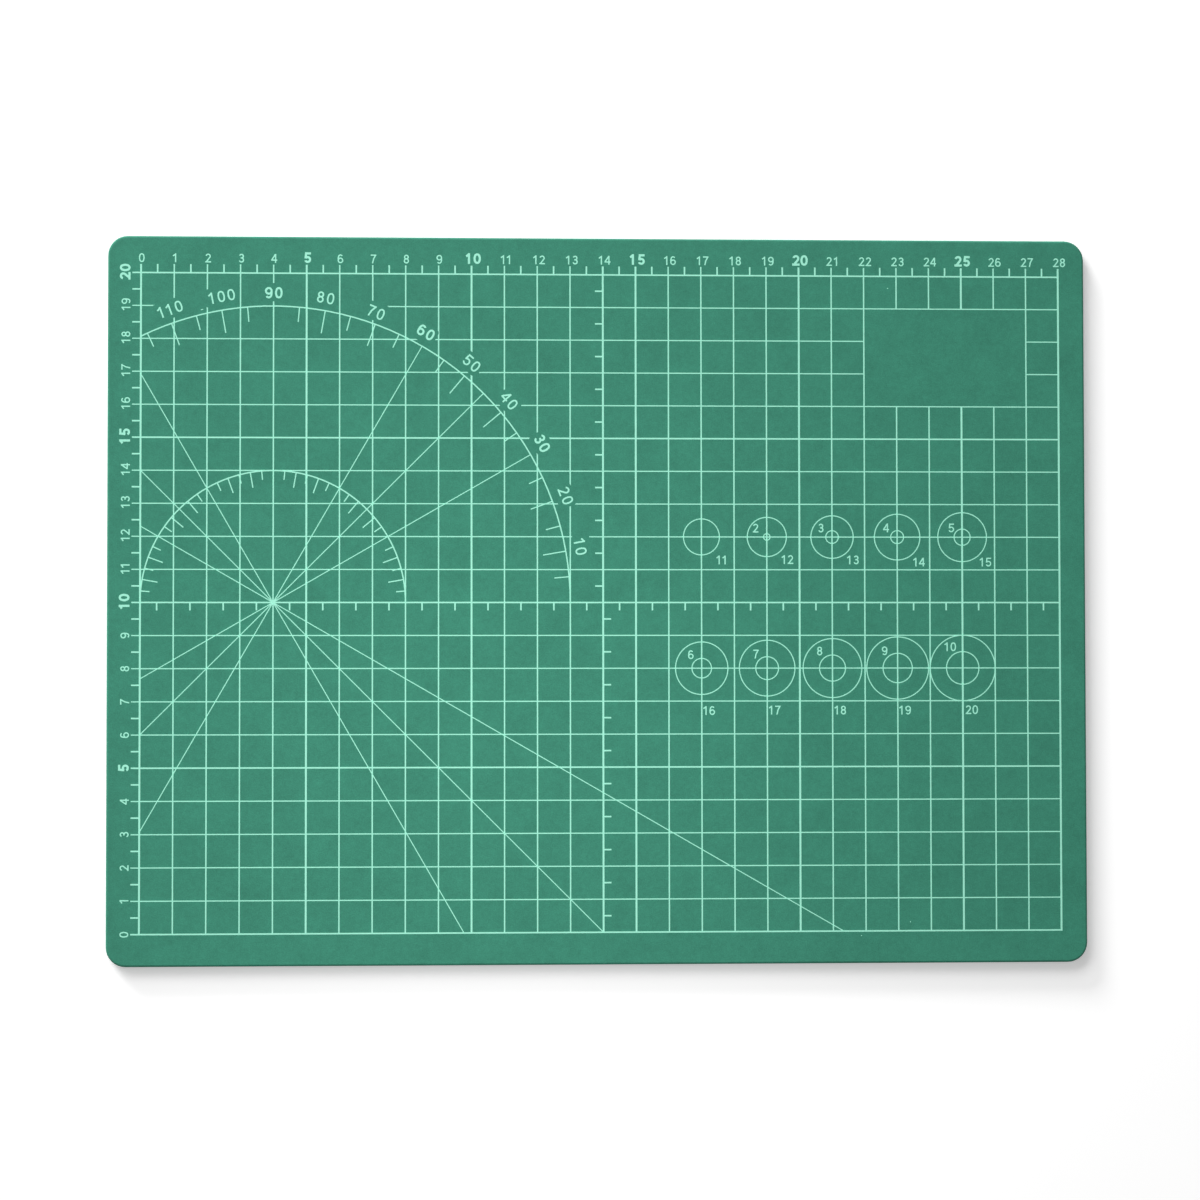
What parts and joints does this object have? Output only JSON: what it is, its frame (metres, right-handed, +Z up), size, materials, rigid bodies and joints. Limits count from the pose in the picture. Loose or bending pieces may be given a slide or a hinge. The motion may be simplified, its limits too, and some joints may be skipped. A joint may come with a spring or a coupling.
{
  "type": "self healing cutting mat",
  "caption": "Flat laminated self-healing cutting mat with rounded corners, a printed centimetre grid, edge rulers, a protractor and circle templates.",
  "frame": {"origin": "centre of the underside, where the mat lies on a table", "axes": "+X along the long side, to the right of the print; +Y towards the top of the print; +Z up out of the printed cutting face"},
  "size_m": [0.298, 0.221, 0.0031],
  "materials": {
    "self_healing_pvc": "matte",
    "tie_pvc": "matte",
    "core_pvc": "satin",
    "print_ink": "matte"
  },
  "bodies": {
    "root": {"bottom_cutting_face": "self_healing_pvc", "lower_tie_ply": "tie_pvc", "rigid_core": "core_pvc", "upper_tie_ply": "tie_pvc", "top_cutting_face": "self_healing_pvc", "printed_grid": "print_ink", "printed_protractor": "print_ink"}
  },
  "joints": []
}
